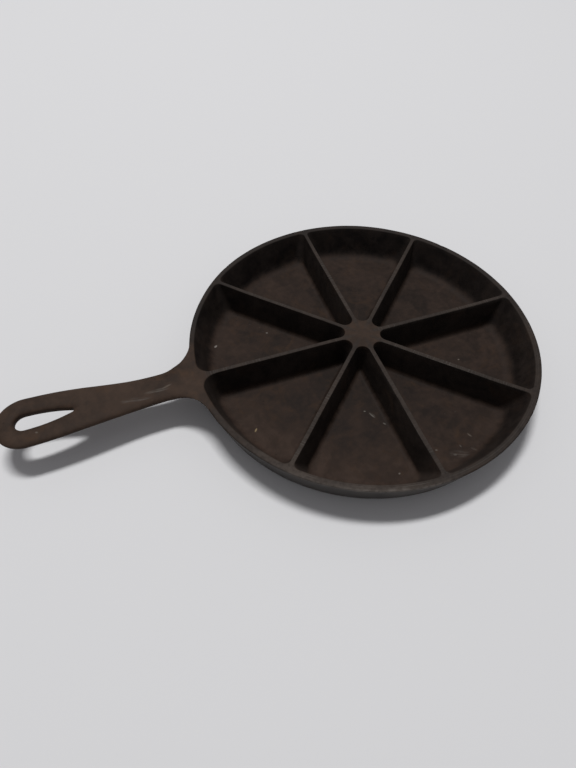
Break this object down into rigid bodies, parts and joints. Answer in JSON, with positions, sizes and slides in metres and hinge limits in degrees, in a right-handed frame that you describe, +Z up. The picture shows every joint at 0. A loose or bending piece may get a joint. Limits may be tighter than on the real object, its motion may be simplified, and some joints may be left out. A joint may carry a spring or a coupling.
{
  "type": "sectioned skillet",
  "caption": "Cast iron skillet with radial dividers that part the pan into wedge pockets for corn bread, and a level handle with a teardrop hanging hole.",
  "frame": {"origin": "centre of the flat underside of the pan, on the table", "axes": "+Z up along the pan's axis, handle along -X, dividers every 45 degrees from the handle"},
  "size_m": [0.3548, 0.235, 0.0255],
  "materials": {
    "seasoned_iron": "brown-black seasoned iron, satin, with a fine as-cast grain and worn top edges"
  },
  "bodies": {
    "root": {"pan_floor": "seasoned_iron", "side_wall": "seasoned_iron", "center_hub": "seasoned_iron", "divider_1": "seasoned_iron", "divider_2": "seasoned_iron", "divider_3": "seasoned_iron", "divider_4": "seasoned_iron", "divider_5": "seasoned_iron", "divider_6": "seasoned_iron", "divider_7": "seasoned_iron", "divider_8": "seasoned_iron", "handle": "seasoned_iron"}
  },
  "joints": []
}
